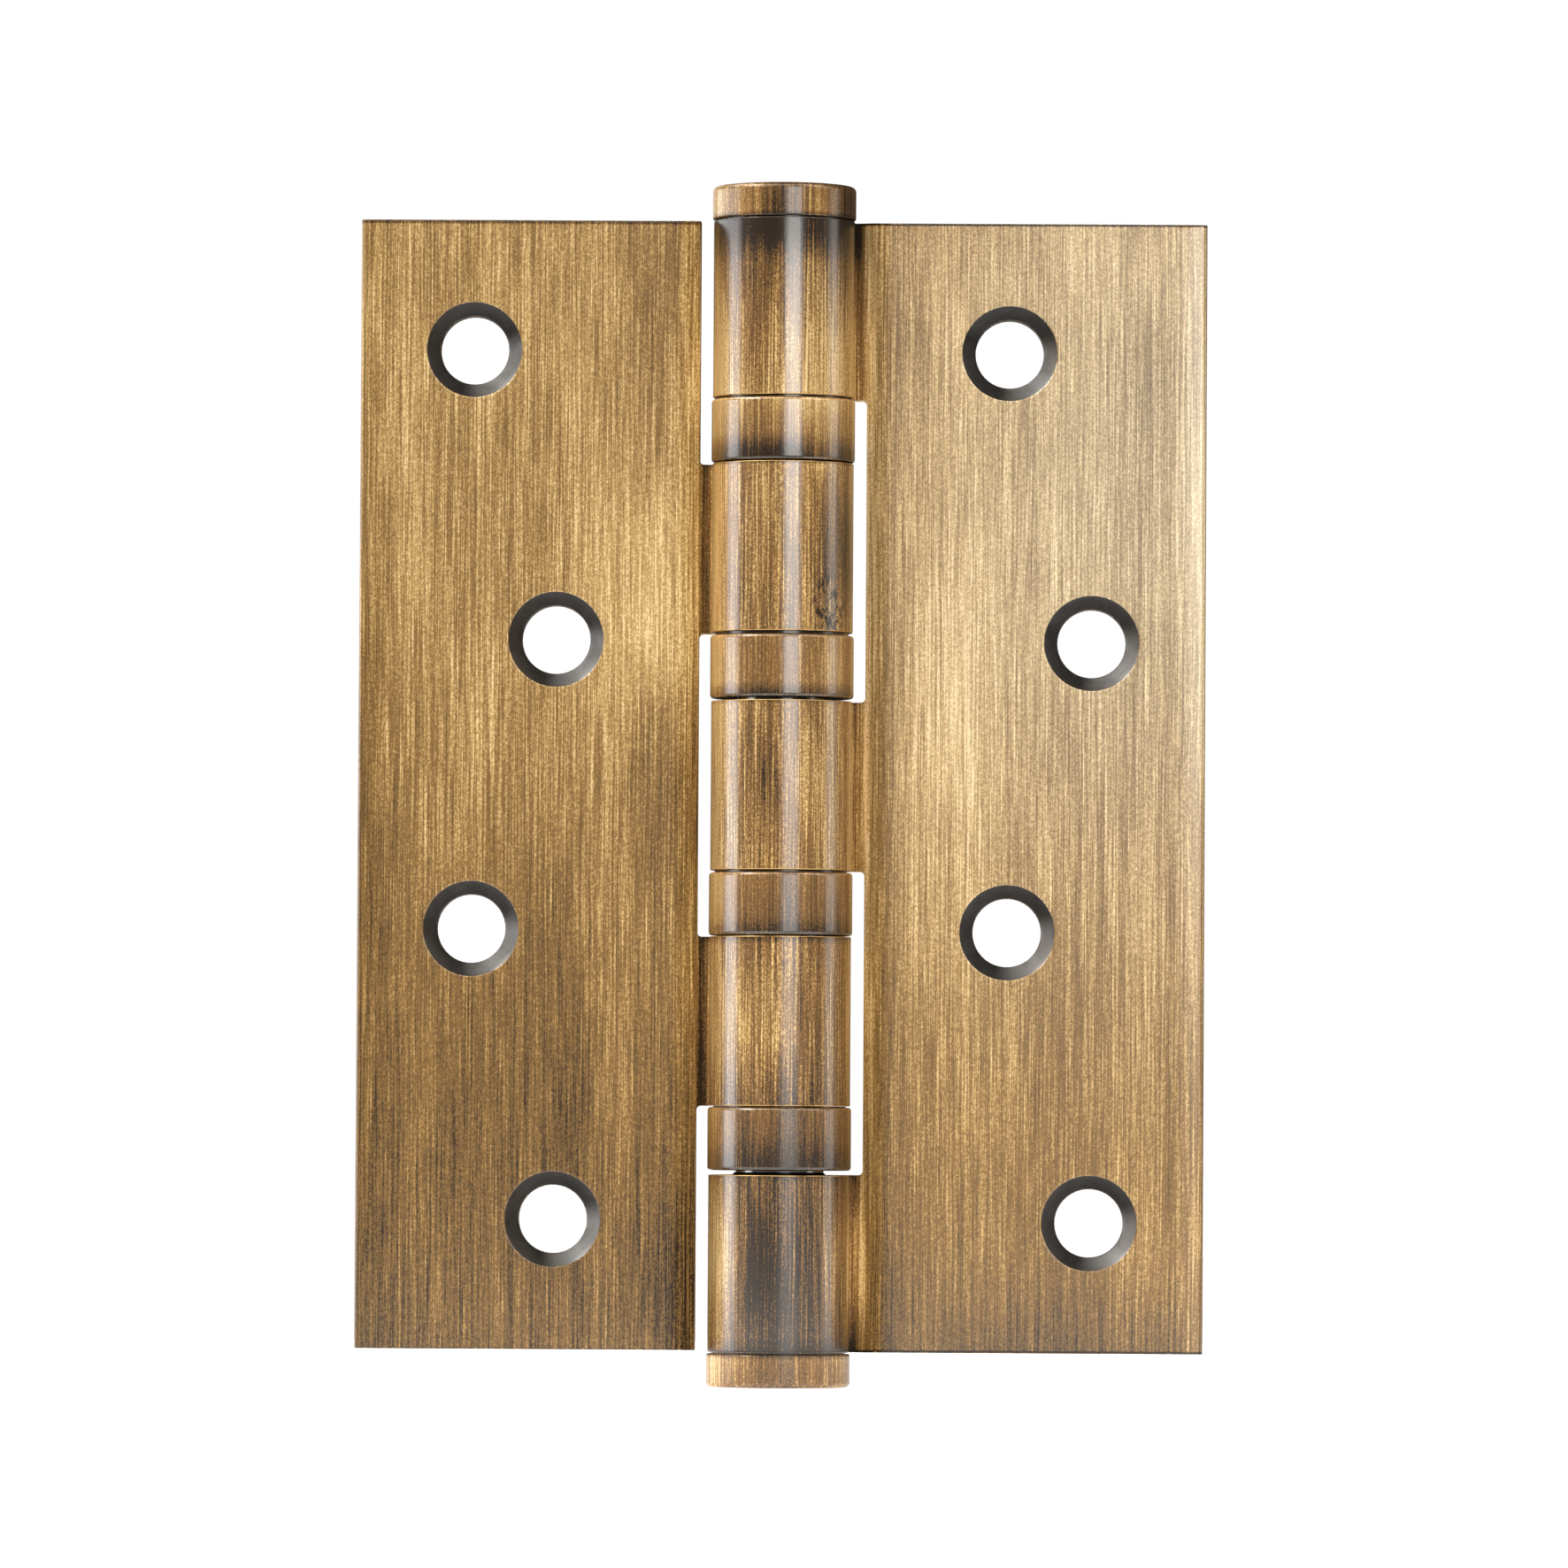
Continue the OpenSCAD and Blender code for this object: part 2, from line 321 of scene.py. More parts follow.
# CAP_JOINT_DEPTH is painted shade on the faces inside the barrel's gaps and bores
CAP_JOINT_DEPTH = 2.0
UNEVENNESS = {"middle lines": 0.17, "broad lines": 0.24, "clouds": 0.34}
# How far a brushed line wanders, from its furthest left to its furthest right
LINE_LEAN = 0.3 * MM
# The share of the grain in a worn edge's pattern, and of the fine lines in the brass's relief
WORN_GRAIN = 0.3
LINE_SHARE = 0.6

# The noise levels between which a smudge's pits, the red patches and a worn edge's patina set in
PIT_LEVELS = (0.47, 0.60)
RED_LEVELS = (0.42, 0.68)
WORN_LEVELS = (0.45, 0.85)

# Each holds two pairs: as the pattern crosses the first pair, the roughness or the gloss goes through
# the second. The lacquer is duller where the patina is dark, and on the caps.
BRASS_ROUGHNESS = (0.2, 0.8, 0.52, 0.62)
WORN_ROUGHNESS = (0.2, 0.8, 0.30, 0.42)
PATINA_GLOSS = (0.45, 1.6, 1.0, 0.6)
CAP_GLOSS = (0.0, 1.0, 0.55, 1.0)
COAT_ROUGHNESS = 0.20
COAT_IOR = 2.0

# The height of the relief that brushing leaves in the brass, in the lacquer and along a worn edge
BRASS_RELIEF = 0.010 * MM
COAT_RELIEF = 0.007 * MM
WORN_RELIEF = 0.006 * MM

# The regions of the finish. Each is the product of ramps, from where it starts to where it is full,
# in mm: "out" is past the barrel's radius, "up" is past the leaves' ends at top and bottom, and
# "back" is behind the barrel's axis.
REGIONS = {
    "barrel": (("out", 1.05, 0.25),),
    "plate": (("out", 2.45, 3.85),),
    # The recess is partly patina in the hollow beside the knuckles and partly painted shade
    "recess": (("out", 0.25, 0.45), ("out", 1.35, 0.85), ("back", 3.5, 2.5)),
    # The rim is painted shade along the front edge of the leaf's ends
    "rim": (("up", -0.3, -0.1), ("back", 1.8, 1.3)),
    # The cap joint is painted shade on the faces inside the barrel's gaps and bores
    "cap joint": (("out", -0.2, -0.3), ("up", 0.5, 0.2)),
    "below caps": (("up", 0.2, 0.0),),
    "front": (("back", 1.0, -1.0),),
}

# Where a leaf's colour is darker or lighter, and by how much: (across, up, half width, half height,
# amount), with the sizes in mm. Some are patina lying heavier or lighter, and both leaves are made
# darker towards the bottom. The frame leaf's spots on its strap beside the barrel are painted light,
# and its spot along the outer edge is a painted highlight.
DOOR_BLOTCHES = (
    (-30, -42, 50, 64, 0.35),
    (-37, -4, 5, 50, 0.09),
    (-12.8, 15, 9, 20, -0.22),
    (-9, -1, 6, 14, 0.18),
    (-14.5, -20, 4.5, 26, -0.17),
    (-8, -34, 7, 24, 0.10),
    (-8, -48, 8, 18, 0.24),
    (-11.6, 44, 3, 12, 0.14),
    (-11.6, 6, 2.5, 8, 0.12),
)
FRAME_BLOTCHES = (
    (22, -50, 38, 52, 0.20),
    (22, -60, 44, 22, 0.30),
    (11, -38, 9, 18, 0.12),
    (9.2, 0, 3, 80, 0.20),
    # Painted light: this spot and the next two lighten the strap beside the barrel
    (7.2, 0, 1.8, 110, -0.34),
    (7.0, -43, 1.2, 9, -0.32),
    (7.0, 0, 1.2, 9, -0.10),
    (14, 6, 6, 14, -0.08),
    # Painted highlight along the outer edge, where the rolled edge catches the light
    (38.1, 24, 1.0, 40, -0.32),
    (36, 0, 6, 34, 0.08),
    (15, 12, 14, 40, -0.10),
)
# The same along the barrel, where each knuckle was brushed by hand. The first two spots run the whole
# height and are painted light: a painted highlight down the left side, and a darker stripe where the front
# highlight falls, which makes that highlight read whiter.
BARREL_BLOTCHES = (
    # Painted highlight down the left side of the barrel
    (-6.0, 0, 1.7, 110, -0.42),
    # Darker stripe painted under the front highlight, so that it reads whiter
    (0.9, 0, 1.3, 110, 0.18),
    (3.2, 38, 3.6, 11, -0.22),
    (3.0, 46, 2.2, 5, -0.24),
    (3.6, 29.5, 2.2, 3, -0.30),
    (-2.4, 38, 1.8, 12, 0.18),
    (-0.6, 51.9, 2.6, 4, 0.40),
    (3.2, 51.9, 1.6, 4, -0.15),
    (5.6, 51.9, 1.6, 4, 0.30),
    (4.8, 21, 3.2, 9, 0.28),
    (6.0, 21, 1.2, 10, 0.30),
    (-1.6, 0, 3.0, 10, 0.15),
    (-0.6, 0, 1.2, 9, 0.12),
    (3.8, 0, 3.0, 10, -0.14),
    (-2.6, -21, 4.0, 10, -0.14),
    (3.4, -21, 3.6, 10, 0.14),
    (-1.4, -43, 2.8, 10, 0.32),
    (5.6, -43, 2.4, 10, -0.46),
    (-5.2, -43, 2.2, 10, -0.48),
    (0.6, -52.3, 5.4, 4, 0.22),
)
# The one smudge, on the front of the second knuckle from the top, and the pale region of the frame leaf,
# which is painted light falling on its upper part, both laid out as the blotches are
SMUDGE = (4.2, 15.8, 1.9, 4.2, 1.4)
FRAME_PAINTED_LIGHT = (32, 26, 36, 66, 1.0)

# How dark the colour is along the barrel, from the bottom up and darkest next to each joint:
# (piece, 0 for its lower end or 1 for its upper end, mm above that end, darkness)
BARREL_LEVELS = (
    ("bottom_cap", 0, 0.0, 0.35),
    ("bottom_cap", 1, -0.4, 0.20),
    ("bottom_cap", 1, 0.0, 0.8),
    ("bottom_cap", 1, 1.5, 0.55),
    ("bottom_cap", 1, 6.0, 0.60),
    ("bearing_4_collar", 0, -1.0, 0.55),
    ("bearing_4_collar", 0, 0.0, 1.0),
    ("bearing_4_collar", 0, 1.2, 0.85),
    ("bearing_4_collar", 0, 3.0, 0.60),
    ("bearing_4_collar", 1, 0.2, 0.42),
    ("bearing_4_collar", 1, 6.0, 0.15),
    ("bearing_3_collar", 0, -0.8, 0.30),
    ("bearing_3_collar", 0, 0.0, 0.9),
    ("bearing_3_collar", 0, 1.6, 0.50),
    ("bearing_3_collar", 1, 0.0, 0.30),
    ("bearing_3_collar", 1, 7.0, 0.30),
    ("bearing_2_collar", 0, -0.5, 0.25),
    ("bearing_2_collar", 0, 0.0, 0.9),
    ("bearing_2_collar", 0, 1.4, 0.27),
    ("bearing_2_collar", 1, 0.0, 0.26),
    ("bearing_2_collar", 1, 7.0, 0.25),
    ("bearing_1_collar", 0, -0.4, 0.2),
    ("bearing_1_collar", 0, 0.0, 1.1),
    ("bearing_1_collar", 0, 1.0, 0.85),
    ("bearing_1_collar", 0, 2.4, 0.3),
    ("bearing_1_collar", 1, 0.0, 0.0),
    ("bearing_1_collar", 1, 5.0, 0.08),
    ("top_cap", 0, -4.0, 0.55),
    ("top_cap", 0, -1.2, 1.2),
    ("top_cap", 0, 0.0, 1.2),
    ("top_cap", 0, 0.3, 0.35),
    ("top_cap", 1, 0.0, 0.40),
)


class Finish(NamedTuple):
    """How one piece was finished.

    Tone is how dark the patina is, contrast is how clearly the brushed lines show in it, and lacquer
    is the gloss of the plate. Recess is extra darkness beside the knuckles, partly patina in the hollow
    and partly painted shade, and rim is painted shade along the front edge of the leaf's ends. The
    barrel has its own tone and contrast. Blotches, which are partly patina and partly painted light and
    shade, the smudge and the pale region, which is painted light, are laid out as DOOR_BLOTCHES is.
    """

    seed: int
    tone: float
    lacquer: float
    contrast: float = 1.0
    barrel_tone: float = 0.25
    barrel_contrast: float = 0.85
    recess: float = 0.0
    rim: float = 0.0
    blotches: tuple = ()
    smudge: tuple = None
    pale: tuple = None


DOOR_FINISH = Finish(
    seed=3,
    tone=0.40,
    lacquer=0.45,
    contrast=0.60,
    recess=0.5,
    rim=0.4,
    blotches=DOOR_BLOTCHES,
    smudge=SMUDGE,
)
FRAME_FINISH = Finish(
    seed=4,
    tone=0.37,
    lacquer=0.6,
    contrast=0.56,
    recess=0.35,
    rim=0.8,
    blotches=FRAME_BLOTCHES,
    pale=FRAME_PAINTED_LIGHT,
)
BARREL_FINISH = Finish(seed=5, tone=0.26, lacquer=1.0, barrel_tone=0.26, barrel_contrast=0.60)
# The dark edge is painted shade on the leaves' edges that face up or down, and patina at the back of the
# holes
DARK_EDGE_FINISH = Finish(seed=6, tone=0.85, lacquer=0.3)


def region_masks(net, coords):
    """Each region of the finish as a value from 0 outside it to 1 inside."""
    parts = net.node("ShaderNodeSeparateXYZ", {"Vector": coords}).outputs
    squares = [net.times(parts[axis], parts[axis]) for axis in ("X", "Y")]
    measures = {
        "out": (net.math("SQRT", net.add(*squares)), BARREL_RADIUS),
        "up": (net.math("ABSOLUTE", parts["Z"]), LEAF_TOP),
        "back": (parts["Y"], 0.0),
    }
    masks = {}
    for name, ramps in REGIONS.items():
        spans = []
        for measure, start, full in ramps:
            value, origin = measures[measure]
            spans.append(net.span(value, origin + start * MM, origin + full * MM))
        masks[name] = functools.reduce(net.times, spans)
    return masks


def barrel_profile(net, coords):
    """How dark the colour lies along the barrel, darkest next to each joint."""
    levels = [(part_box(piece)[end].z + above * MM, dark) for piece, end, above, dark in BARREL_LEVELS]
    low, high = levels[0][0], levels[-1][0]
    height = net.node("ShaderNodeSeparateXYZ", {"Vector": coords}).outputs["Z"]
    along = net.span(height, low, high, smooth=False)
    return net.ramp(along, [((z - low) / (high - low), grey(dark)) for z, dark in levels])


def soft_spot(net, coords, x, z, wide, tall, amount):
    """A round spot seen from the front, as strong as amount in its middle and 0 at its rim. Sizes in mm."""
    centred = net.shifted(coords, (-x * MM, 0.0, -z * MM))
    across = net.scaled(centred, (1 / (wide * MM), 0.0, 1 / (tall * MM)))
    away = net.vector("LENGTH", across).outputs["Value"]
    return net.span(away, 1.0, 0.0, 0.0, amount)


def brushed_place(net, place):
    """The place along hand-brushed lines, which wander a little to the side as they run up Z."""
    lean = net.times(net.less(net.noise(place, "wander"), 0.5), LINE_LEAN)
    offset = net.node("ShaderNodeCombineXYZ", {"X": lean, "Y": lean, "Z": 0.0}).outputs[0]
    return net.shifted(place, offset)


def brushed_marks(net, fine, finer, grain, contrast):
    """The lines and specks that brushing leaves, darker above 0 and brighter below it."""
    lines = net.times(net.less(net.add(fine, finer), 1.0), LINE_DEPTH)
    specks = net.times(net.less(grain, 0.5), SPECK_DEPTH)
    marks = net.times(net.add(lines, specks), contrast)
    return net.less(marks, net.times(net.math("ABSOLUTE", marks), LINE_SKEW))


def patina_and_painted_light(net, coords, place, brushed, masks, finish):
    """How dark the finish is before its brushed marks, patina with painted light and shade added: 0 for
    bare brass and 1 for full, and past both.
    """
    patina = net.span(masks["barrel"], 0.0, 1.0, finish.tone, finish.barrel_tone)
    profile = net.times(barrel_profile(net, coords), masks["barrel"])
    patina = net.add(patina, net.times(profile, JOINT_DEPTH))
    for where, name in ((brushed, "middle lines"), (brushed, "broad lines"), (place, "clouds")):
        unevenness = net.less(net.noise(where, name), 0.5)
        patina = net.add(patina, net.times(unevenness, UNEVENNESS[name]))
    # The blotches are partly patina and partly painted light and shade
    for spot in finish.blotches + BARREL_BLOTCHES:
        patina = net.add(patina, soft_spot(net, coords, *spot))
    if finish.smudge:
        pits = net.times(net.span(net.noise(place, "pits"), *PIT_LEVELS), masks["front"])
        patina = net.add(patina, net.times(pits, soft_spot(net, coords, *finish.smudge)))
    # The rim and the cap joint add painted shade, and the recess adds patina and painted shade
    for name, amount in (("rim", finish.rim), ("cap joint", CAP_JOINT_DEPTH), ("recess", finish.recess)):
        patina = net.add(patina, net.times(masks[name], amount))
    return patina


def brass_colour(net, coords, place, dark, on_barrel, pale):
    """The metal's colour for a darkness from 0 to 1, on the plate and on the barrel."""
    on_plate = net.ramp(dark, PLATE_STOPS)
    # The pale region is painted light: a paler, whiter colour where light falls on the frame leaf
    if pale:
        on_plate = net.mix(soft_spot(net, coords, *pale), on_plate, net.ramp(dark, PAINTED_LIGHT_STOPS))
    redder = net.span(net.noise(place, "red patches"), *RED_LEVELS)
    on_round = net.mix(redder, net.ramp(dark, BARREL_STOPS), RED_CAST, "MULTIPLY")
    return net.mix(on_barrel, on_plate, on_round)


def antique_brass(name, finish):
    """Brushed brass under a dark patina that the brushing has partly taken off, and a satin lacquer."""
    material, net = new_material(name)
    coords = net.coords()
    place = net.seeded(coords, finish.seed)
    brushed = brushed_place(net, place)
    fine = net.noise(brushed, "fine lines")
    finer = net.noise(brushed, "finer lines")
    grain = net.noise(place, "grain")
    masks = region_masks(net, coords)

    # The patina also carries the painted light and shade of the blotches, the rim, the recess and the cap
    # joint
    patina = patina_and_painted_light(net, coords, place, brushed, masks, finish)
    contrast = net.span(masks["barrel"], 0.0, 1.0, finish.contrast, finish.barrel_contrast)
    marks = brushed_marks(net, fine, finer, grain, contrast)
    dark = net.math("ADD", patina, marks, clamp=True)

    gloss = net.math("MAXIMUM", net.times(masks["plate"], finish.lacquer), masks["barrel"])
    gloss = net.times(gloss, net.span(masks["below caps"], *CAP_GLOSS, smooth=False))
    gloss = net.times(gloss, net.span(patina, *PATINA_GLOSS))
    rough = net.span(net.blend(grain, dark), *BRASS_ROUGHNESS)
    finish_material(
        net,
        Base_Color=brass_colour(net, coords, place, dark, masks["barrel"], finish.pale),
        Metallic=1.0,
        Roughness=rough,
        Normal=net.bump(net.blend(fine, grain, LINE_SHARE), BRASS_RELIEF),
        Coat_Weight=gloss,
        Coat_Roughness=COAT_ROUGHNESS,
        Coat_IOR=COAT_IOR,
        Coat_Normal=net.bump(net.blend(fine, grain), COAT_RELIEF),
    )
    return material


def worn_edge(name, seed):
    """Brass rubbed bright along an edge, with patina left in short lengths of it."""
    material, net = new_material(name)
    place = net.seeded(net.coords(), seed)
    grain = net.noise(place, "edge grain")
    left = net.add(net.noise(place, "worn lengths"), net.times(grain, WORN_GRAIN))
    finish_material(
        net,
        Base_Color=net.ramp(net.span(left, *WORN_LEVELS), WORN_STOPS),
        Metallic=1.0,
        Roughness=net.span(grain, *WORN_ROUGHNESS),
        Normal=net.bump(grain, WORN_RELIEF),
    )
    return material


# ---------------------------------------------------------------- blackened holes and steel

BLACK_STOPS = ((0.3, (0.022, 0.020, 0.018, 1.0)), (0.7, (0.038, 0.034, 0.031, 1.0)))
HOLE_ROUGHNESS = (0.2, 0.8, 0.30, 0.40)
HOLE_METALLIC = 0.4
FINE_RELIEF = 0.004 * MM

# A painted glow of grey at the lower right of a countersink, where the surface faces up and to the left,
# towards the lamps. It sets in between two amounts of facing that way, and the mottle thins it.
PAINTED_GLOW = (0.26, 0.25, 0.24, 1.0)
GLOW_FACING = (-0.77, 0.0, 0.64)
GLOW_LEVELS = (0.25, 0.72)
GLOW_MOTTLE = (0.2, 0.6, 0.7, 1.0)

# Each steel: its two colours, its lowest and highest roughness, and its turning marks along Z, in
# cycles in a metre
STEELS = {
    "pin_steel": ((grey(0.42), grey(0.52)), (0.22, 0.34), 6000.0),
    "race_steel": (((0.20, 0.19, 0.18, 1.0), (0.30, 0.29, 0.27, 1.0)), (0.16, 0.28), 8000.0),
    "ball_steel": ((grey(0.58), grey(0.66)), (0.06, 0.14), 900.0),
}
STEEL_LEVELS = (0.3, 0.7)
# How many times longer the turning marks are across the barrel than along it, their detail and their
# roughness
MARK_STRETCH = 40
MARK_DETAIL = 2.0
MARK_ROUGHNESS = 0.6
GREASE_WEIGHT = 0.4
GREASE_ROUGHNESS = 0.12


def dark_countersink(name, seed):
    """The blackened finish that the brushing doesn't reach inside a countersink, with a painted glow on one
    side.
    """
    material, net = new_material(name)
    place = net.seeded(net.coords(), seed)
    mottle = net.noise(place, "mottle")
    grain = net.noise(place, "hole grain")
    normal = net.node("ShaderNodeTexCoord").outputs["Normal"]
    facing = net.vector("DOT_PRODUCT", normal, GLOW_FACING).outputs["Value"]
    painted_glow = net.times(net.span(facing, *GLOW_LEVELS), net.span(mottle, *GLOW_MOTTLE))
    finish_material(
        net,
        Base_Color=net.mix(painted_glow, net.ramp(mottle, BLACK_STOPS), PAINTED_GLOW),
        Metallic=HOLE_METALLIC,
        Roughness=net.span(grain, *HOLE_ROUGHNESS),
        Normal=net.bump(grain, FINE_RELIEF),
    )
    return material


def turned_steel(name):
    """Machined steel with fine turning marks round the barrel's axis and a thin film of grease."""
    colours, roughness, rings = STEELS[name]
    material, net = new_material(name)
    coords = net.coords()
    scale = (rings / MARK_STRETCH, rings / MARK_STRETCH, rings)
    marks = net.free_noise(coords, scale, MARK_DETAIL, MARK_ROUGHNESS)
    film = net.noise(coords, "grease")
    finish_material(
        net,
        Base_Color=net.ramp(film, tuple(zip(STEEL_LEVELS, colours))),
        Metallic=1.0,
        Roughness=net.span(net.blend(marks, film), *STEEL_LEVELS, *roughness),
        Normal=net.bump(marks, FINE_RELIEF),
        Coat_Weight=GREASE_WEIGHT,
        Coat_Roughness=GREASE_ROUGHNESS,
    )
    return material


# ---------------------------------------------------------------- the leaves' shells


def hole_axes(record):
    """The (x, z) of each screw hole, from the record's openings."""
    axes = []
    for opening in record["physics"]["openings"]:
        low, high = opening["box_m"]
        axes.append(((low[0] + high[0]) / 2, (low[2] + high[2]) / 2))
    return axes


def near_hole(point, holes):
    """True for a point that is within a countersink's reach of a hole's axis."""
    return any(math.hypot(point.x - x, point.z - z) < COUNTERSINK_REACH for x, z in holes)


def is_soft_edge(edge):
    """True for a sharp edge to round. The wedge between a knuckle's roll and its strap stays as cut."""
    if len(edge.link_faces) != 2 or edge.calc_face_angle(0.0) < SHARP_ANGLE:
        return False
    ends = [v.co for v in edge.verts]
    middle = (ends[0] + ends[1]) / 2
    in_reach = math.hypot(middle.x, middle.y) < WEDGE_REACH
    in_wedge = in_reach and middle.y > WEDGE_BACK and abs(middle.x) > WEDGE_SIDE
    upright = abs(ends[0].z - ends[1].z) > UPRIGHT_RISE and abs(middle.x) > STRAP_SIDE
    return upright or not in_wedge


def edge_finish(face, holes):
    """The finish of a rounded edge: worn where hands and brushing reach, and dark elsewhere, which is
    patina at the back of the holes and painted shade on edges that face up or down.
    """
    middle = face.calc_center_median()
    if near_hole(middle, holes):
        return BRUSHED if middle.y < FRONT_LIMIT else DARK
    on_barrel = math.hypot(middle.x, middle.y) < KNUCKLE_REACH and abs(middle.z) < END_HEIGHT
    return WORN if on_barrel or abs(face.normal.z) < UPRIGHT_LEAN else DARK


def ease_outer_edge(mesh):
    """Let the front face fall away towards the outer edge, where the brushing belt rolls over it."""
    outer = max(abs(v.co.x) for v in mesh.verts)
    side = 1.0 if sum(v.co.x for v in mesh.verts) > 0 else -1.0
    for step in range(EASE_STEPS):
        place = (side * (outer - EASE_WIDTH * (step + 1) / EASE_STEPS), 0, 0)
        geometry = mesh.verts[:] + mesh.edges[:] + mesh.faces[:]
        bmesh.ops.bisect_plane(mesh, geom=geometry, plane_co=place, plane_no=(1, 0, 0), dist=CUT_GAP)
    for vertex in mesh.verts:
        into = (abs(vertex.co.x) - (outer - EASE_WIDTH)) / EASE_WIDTH
        if into > 0 and vertex.co.y < FRONT_LIMIT:
            vertex.co.y += EASE_DEPTH * into**3


def rounded_copy(node, holes):
    """A copy of a CAD leaf's mesh with rounded edges, and each face marked with its finish."""
    mesh = bmesh.new()
    mesh.from_mesh(frame["nodes"][node].data)
    bmesh.ops.remove_doubles(mesh, verts=mesh.verts, dist=WELD_GAP)
    bmesh.ops.dissolve_limit(mesh, angle_limit=FLAT_ANGLE, verts=mesh.verts, edges=mesh.edges)
    for face in mesh.faces:
        in_hole = near_hole(face.calc_center_median(), holes) and abs(face.normal.y) < FLAT_FACE
        face.material_index = HOLE if in_hole else BRUSHED
    ease_outer_edge(mesh)
    bmesh.ops.bevel(
        mesh,
        geom=[e for e in mesh.edges if is_soft_edge(e)],
        offset=EDGE_WIDTH,
        offset_type="OFFSET",
        segments=EDGE_STEPS,
        profile=0.5,
        affect="EDGES",
        clamp_overlap=False,
        material=WORN,
    )
    bmesh.ops.remove_doubles(mesh, verts=mesh.verts, dist=WELD_GAP)
    for face in mesh.faces:
        face.smooth = True
        if face.material_index == WORN:
            face.material_index = edge_finish(face, holes)
    for edge in mesh.edges:
        edge.smooth = edge.calc_face_angle(0.0) < SHARP_ANGLE
    data = bpy.data.meshes.new(node + "_shell")
    mesh.to_mesh(data)
    mesh.free()
    if "custom_normal" in data.attributes:
        data.attributes.remove(data.attributes["custom_normal"])
    return data


def leaf_shell(node, materials, holes):
    """The rounded shell of a leaf, with its materials in the order of its finishes."""
    data = rounded_copy(node, holes)
    for material in materials:
        data.materials.append(material)
    shell = bpy.data.objects.new(node + "_shell", data)
    bpy.context.scene.collection.objects.link(shell)
    normals = shell.modifiers.new("flat faces stay flat", "WEIGHTED_NORMAL")
    normals.keep_sharp = True
    normals.weight = NORMAL_WEIGHT
    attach(shell, LEAVES[node])
    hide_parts(node)


def dress_nodes(names, material):
    """Give CAD nodes a material without changing their meshes."""
    for name in names:
        for slot in frame["nodes"][name].material_slots:
            slot.link = "OBJECT"
            slot.material = material


# ---------------------------------------------------------------- stage, light and camera


def pale_floor(level):
    """The stage's floor, which is not part of the hinge."""
    mesh = bmesh.new()
    bmesh.ops.create_grid(mesh, x_segments=8, y_segments=8, size=FLOOR_HALF)
    data = bpy.data.meshes.new("floor")
    mesh.to_mesh(data)
    mesh.free()
    floor = bpy.data.objects.new("floor", data)
    floor.location.z = level
    bpy.context.scene.collection.objects.link(floor)
    material, net = new_material("floor_white")
    finish_material(
        net,
        Base_Color=grey(FLOOR_GREY),
        Roughness=0.9,
        Specular_IOR_Level=0.1,
        Emission_Color=grey(1.0),
        Emission_Strength=FLOOR_GLOW,
    )
    data.materials.append(material)


def softbox(target, name, azimuths, elevations, distance, radiance, tint):
    """A rectangular lamp that fills one patch of the sky over the target."""
    turn, rise = (math.radians(sum(span) / 2) for span in (azimuths, elevations))
    way = Vector((math.sin(turn) * math.cos(rise), -math.cos(turn) * math.cos(rise), math.sin(rise)))
    half_wide, half_tall = (math.radians(span[1] - span[0]) / 2 for span in (azimuths, elevations))
    data = bpy.data.lights.new(name, "AREA")
    data.shape = "RECTANGLE"
    data.size = 2 * distance * math.tan(half_wide) * math.cos(rise)
    data.size_y = 2 * distance * math.tan(half_tall)
    data.energy = radiance * math.pi * data.size * data.size_y
    data.color = tint
    lamp = bpy.data.objects.new(name, data)
    lamp.location = target + way * distance
    lamp.rotation_euler = way.to_track_quat("Z", "Y").to_euler()
    lamp.visible_camera = False
    bpy.context.scene.collection.objects.link(lamp)


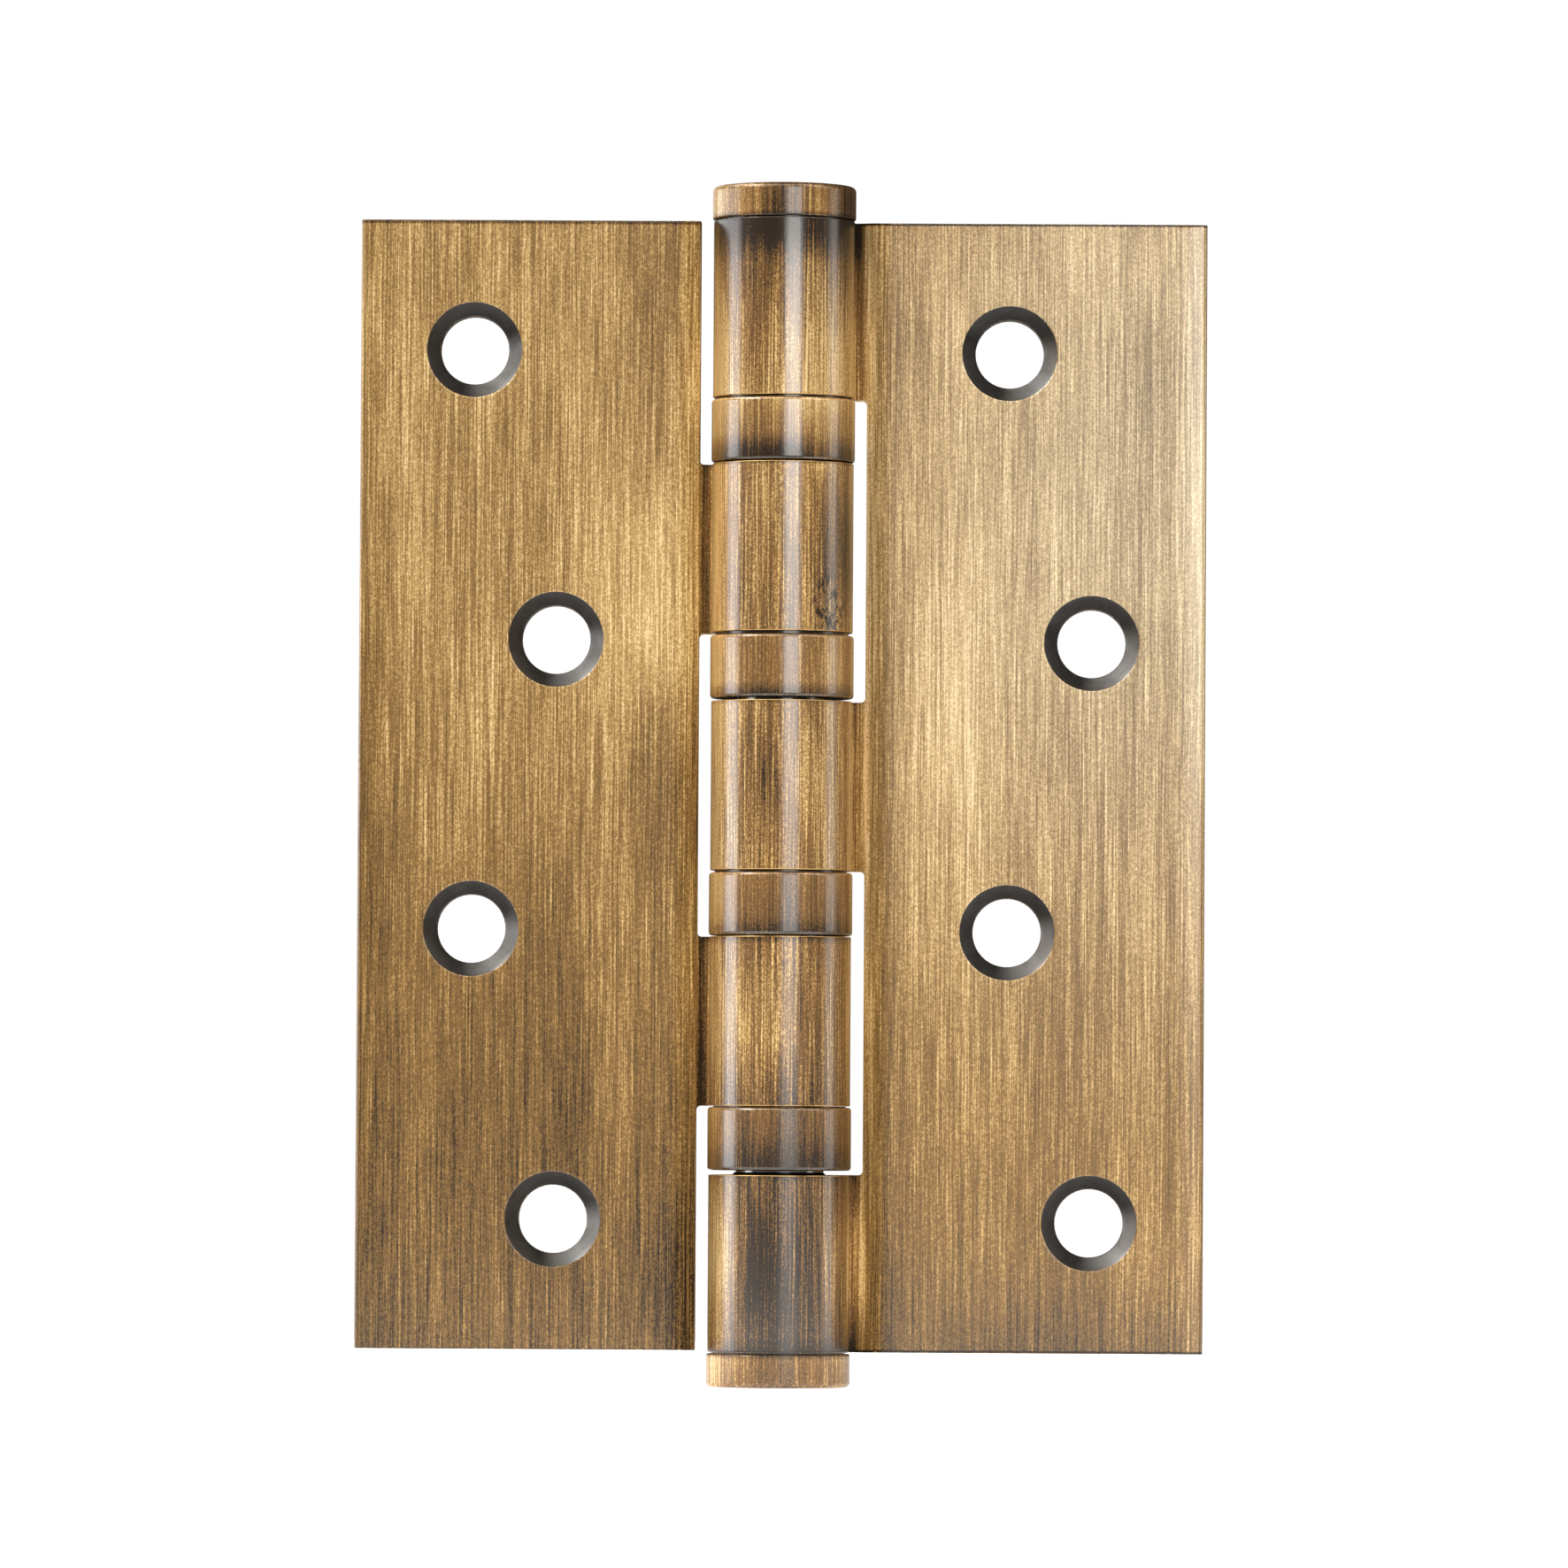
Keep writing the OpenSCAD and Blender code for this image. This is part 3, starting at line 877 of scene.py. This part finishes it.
def studio_world():
    """White where the camera sees past the hinge, and a dimmer even room for the metal to reflect."""
    world = bpy.data.worlds.new("studio")
    world.use_nodes = True
    bpy.context.scene.world = world
    net = Net(world.node_tree)
    room = net.node("ShaderNodeBackground", {"Color": ROOM_TINT, "Strength": ROOM_LIGHT})
    white = net.node("ShaderNodeBackground", {"Color": grey(1.0), "Strength": BACKDROP_LIGHT})
    seen = net.node("ShaderNodeLightPath").outputs["Is Camera Ray"]
    both = net.node("ShaderNodeMixShader", {0: seen, 1: room.outputs[0], 2: white.outputs[0]})
    net.node("ShaderNodeOutputWorld", {"Surface": both.outputs[0]})


def photo_camera(target):
    """The camera, far off and a little below and to the right of the target, with a small roll."""
    data = bpy.data.cameras.new("camera")
    data.lens = CAMERA_LENS
    data.sensor_width = SENSOR_WIDTH
    data.clip_start = 0.01
    data.clip_end = 20.0
    camera = bpy.data.objects.new("camera", data)
    eye = target + Vector((CAMERA_RIGHT, -CAMERA_DISTANCE, CAMERA_HEIGHT))
    look = (target - eye).to_track_quat("-Z", "Y")
    camera.location = eye
    camera.rotation_euler = look.to_euler()
    camera.rotation_euler.rotate_axis("Z", CAMERA_ROLL)
    bpy.context.scene.collection.objects.link(camera)
    bpy.context.scene.camera = camera


# ---------------------------------------------------------------- the hinge

holes = hole_axes(frame["record"])
edge = worn_edge("worn_edge", seed=1)
dark_hole = dark_countersink("dark_countersink", seed=2)
door_brass = antique_brass("door_leaf_antique_brass", DOOR_FINISH)
frame_brass = antique_brass("frame_leaf_antique_brass", FRAME_FINISH)
barrel_brass = antique_brass("barrel_antique_brass", BARREL_FINISH)
dark_edge = antique_brass("dark_edge_brass", DARK_EDGE_FINISH)
pin_steel, race_steel, ball_steel = (turned_steel(name) for name in STEELS)

leaf_shell("door_leaf", (door_brass, edge, dark_hole, dark_edge), holes)
leaf_shell("frame_leaf", (frame_brass, edge, dark_hole, dark_edge), holes)
dress_nodes(["top_cap", "bottom_cap"] + [f"bearing_{i}_collar" for i in BEARINGS], barrel_brass)
dress_nodes(["hinge_pin"], pin_steel)
dress_nodes([f"bearing_{i}_{side}_race" for i in BEARINGS for side in ("upper", "lower")], race_steel)
dress_nodes([f"bearing_{i}_balls" for i in BEARINGS], ball_steel)

centre = (cad_box[0] + cad_box[1]) / 2
pale_floor(cad_box[0].z)
studio_world()
for lamp in LAMPS:
    softbox(centre, *lamp)
photo_camera(centre + FRAMING)
bpy.context.scene.view_settings.view_transform = "Standard"
bpy.context.scene.view_settings.look = "None"
